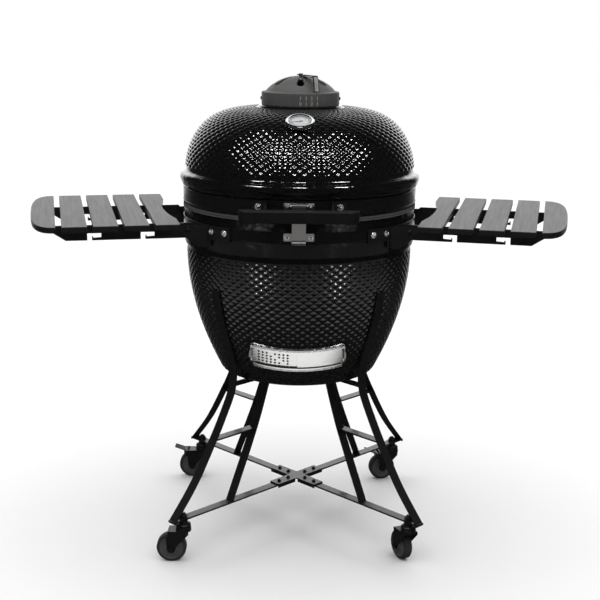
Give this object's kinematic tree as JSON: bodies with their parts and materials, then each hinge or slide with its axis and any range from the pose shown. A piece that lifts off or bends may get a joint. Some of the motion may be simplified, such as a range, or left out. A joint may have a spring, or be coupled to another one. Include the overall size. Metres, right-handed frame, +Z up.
{
  "type": "kamado ceramic grill",
  "caption": "Egg-shaped ceramic charcoal grill with a hinged lid, a slotted top vent, a sliding draft door and folding slatted side shelves, on a wheeled flat-bar cart.",
  "frame": {"origin": "on the floor under the middle of the ceramic body, which is the bottom centre of the bounding box", "axes": "+Z up, -Y towards the handle and the draft door at the front, +X to the right seen from the front"},
  "size_m": [1.3914, 0.7642, 1.202],
  "materials": {
    "glazed_ceramic": "gloss black glaze over dimpled ceramic",
    "fire_clay": "bare refractory",
    "band_steel": "satin black",
    "felt": "grey felt",
    "cast_iron": "dark grey satin",
    "powder_coat": "fine matte black powder coat",
    "spring_steel": "bright",
    "stainless": "brushed",
    "dark_stainless": "brushed, dark",
    "chrome": "polished",
    "pointer_paint": "black",
    "stained_wood": "grey-black stained bamboo",
    "wheel_plastic": "matte black"
  },
  "bodies": {
    "base": {"base_bowl": "glazed_ceramic", "base_band": "band_steel", "base_gasket": "felt", "fire_box": "fire_clay", "fire_ring": "fire_clay", "charcoal_grate": "cast_iron", "cooking_grate": "cast_iron", "draft_frame": "stainless", "latch_catch": "stainless", "hinge_base": "powder_coat", "hinge_pin": "spring_steel", "hinge_spring": "spring_steel", "left_bracket_front": "powder_coat", "left_bracket_rear": "powder_coat", "right_bracket_front": "powder_coat", "right_bracket_rear": "powder_coat", "leg_front_left": "powder_coat", "leg_front_right": "powder_coat", "leg_rear_left": "powder_coat", "leg_rear_right": "powder_coat", "cross_plate": "powder_coat"},
    "draft_screen": {"draft_screen": "stainless"},
    "draft_door": {"draft_door": "stainless"},
    "lid": {"lid_dome": "glazed_ceramic", "lid_band": "band_steel", "lid_gasket": "felt", "hinge_arm": "powder_coat", "handle_grip": "powder_coat", "handle_arm_left": "powder_coat", "handle_arm_right": "powder_coat", "latch_bracket": "stainless", "thermometer_case": "chrome", "vent_cap": "cast_iron"},
    "latch": {"latch_plate": "dark_stainless"},
    "thermometer_pointer": {"thermometer_pointer": "pointer_paint"},
    "vent_damper": {"vent_damper": "powder_coat"},
    "left_shelf": {"left_slat_1": "stained_wood", "left_slat_2": "stained_wood", "left_slat_3": "stained_wood", "left_slat_4": "stained_wood", "left_slat_5": "stained_wood", "left_rail_front": "powder_coat", "left_rail_rear": "powder_coat"},
    "right_shelf": {"right_slat_1": "stained_wood", "right_slat_2": "stained_wood", "right_slat_3": "stained_wood", "right_slat_4": "stained_wood", "right_slat_5": "stained_wood", "right_rail_front": "powder_coat", "right_rail_rear": "powder_coat"},
    "fork_front_left": {"fork_front_left": "powder_coat"},
    "wheel_front_left": {"wheel_front_left": "wheel_plastic"},
    "fork_front_right": {"fork_front_right": "powder_coat"},
    "wheel_front_right": {"wheel_front_right": "wheel_plastic"},
    "fork_rear_right": {"fork_rear_right": "powder_coat"},
    "wheel_rear_right": {"wheel_rear_right": "wheel_plastic"},
    "brake_rear_right": {"brake_rear_right": "wheel_plastic"},
    "fork_rear_left": {"fork_rear_left": "powder_coat"},
    "wheel_rear_left": {"wheel_rear_left": "wheel_plastic"},
    "brake_rear_left": {"brake_rear_left": "wheel_plastic"}
  },
  "joints": [
    {"name": "lid_hinge", "type": "hinge", "parent": "base", "child": "lid", "pos_m": [0, 0.364, 0.873], "axis": [-1, 0, 0], "range_deg": [0, 75]},
    {"name": "draft_door_slide", "type": "hinge", "parent": "base", "child": "draft_door", "pos_m": [0, 0, 0.6115], "axis": [0, -0.3584, 0.9336], "range_deg": [-25, 0]},
    {"name": "draft_screen_slide", "type": "hinge", "parent": "base", "child": "draft_screen", "pos_m": [0, 0, 0.6115], "axis": [0, -0.3584, 0.9336], "range_deg": [0, 25.2]},
    {"name": "latch_swing", "type": "hinge", "parent": "lid", "child": "latch", "pos_m": [0, -0.314, 0.911], "axis": [-1, 0, 0], "range_deg": [0, 20]},
    {"name": "thermometer_pointer_turn", "type": "hinge", "parent": "lid", "child": "thermometer_pointer", "pos_m": [0, -0.222, 1.091], "axis": [0, -0.3907, 0.9205], "range_deg": [-240, 30]},
    {"name": "vent_damper_turn", "type": "hinge", "parent": "lid", "child": "vent_damper", "pos_m": [0, 0, 1.157], "axis": [0, 0, 1], "range_deg": [-25, 0]},
    {"name": "left_shelf_fold", "type": "hinge", "parent": "base", "child": "left_shelf", "pos_m": [-0.30093, -0.06561, 0.836], "axis": [0.213, -0.977, 0], "range_deg": [0, 90]},
    {"name": "right_shelf_fold", "type": "hinge", "parent": "base", "child": "right_shelf", "pos_m": [0.30093, -0.06561, 0.836], "axis": [0.213, 0.977, 0], "range_deg": [0, 90]},
    {"name": "front_left_swivel", "type": "hinge", "parent": "base", "child": "fork_front_left", "pos_m": [-0.28284, -0.28284, 0.09], "axis": [0, 0, 1], "continuous": true},
    {"name": "front_left_wheel_spin", "type": "hinge", "parent": "fork_front_left", "child": "wheel_front_left", "pos_m": [-0.31284, -0.28284, 0.0375], "axis": [0, -1, 0], "continuous": true},
    {"name": "front_right_swivel", "type": "hinge", "parent": "base", "child": "fork_front_right", "pos_m": [0.28284, -0.28284, 0.09], "axis": [0, 0, 1], "continuous": true},
    {"name": "front_right_wheel_spin", "type": "hinge", "parent": "fork_front_right", "child": "wheel_front_right", "pos_m": [0.26969, -0.25588, 0.0375], "axis": [-0.8988, -0.4384, 0], "continuous": true},
    {"name": "rear_right_swivel", "type": "hinge", "parent": "base", "child": "fork_rear_right", "pos_m": [0.28284, 0.28284, 0.09], "axis": [0, 0, 1], "continuous": true},
    {"name": "rear_right_wheel_spin", "type": "hinge", "parent": "fork_rear_right", "child": "wheel_rear_right", "pos_m": [0.2533, 0.27763, 0.0375], "axis": [0.1736, -0.9848, 0], "continuous": true},
    {"name": "rear_right_brake_pedal", "type": "hinge", "parent": "fork_rear_right", "child": "brake_rear_right", "pos_m": [0.23656, 0.27468, 0.079], "axis": [0.1736, -0.9848, 0], "range_deg": [0, 12]},
    {"name": "rear_left_swivel", "type": "hinge", "parent": "base", "child": "fork_rear_left", "pos_m": [-0.28284, 0.28284, 0.09], "axis": [0, 0, 1], "continuous": true},
    {"name": "rear_left_wheel_spin", "type": "hinge", "parent": "fork_rear_left", "child": "wheel_rear_left", "pos_m": [-0.31284, 0.28284, 0.0375], "axis": [0, -1, 0], "continuous": true},
    {"name": "rear_left_brake_pedal", "type": "hinge", "parent": "fork_rear_left", "child": "brake_rear_left", "pos_m": [-0.32984, 0.28284, 0.079], "axis": [0, -1, 0], "range_deg": [0, 12]}
  ]
}
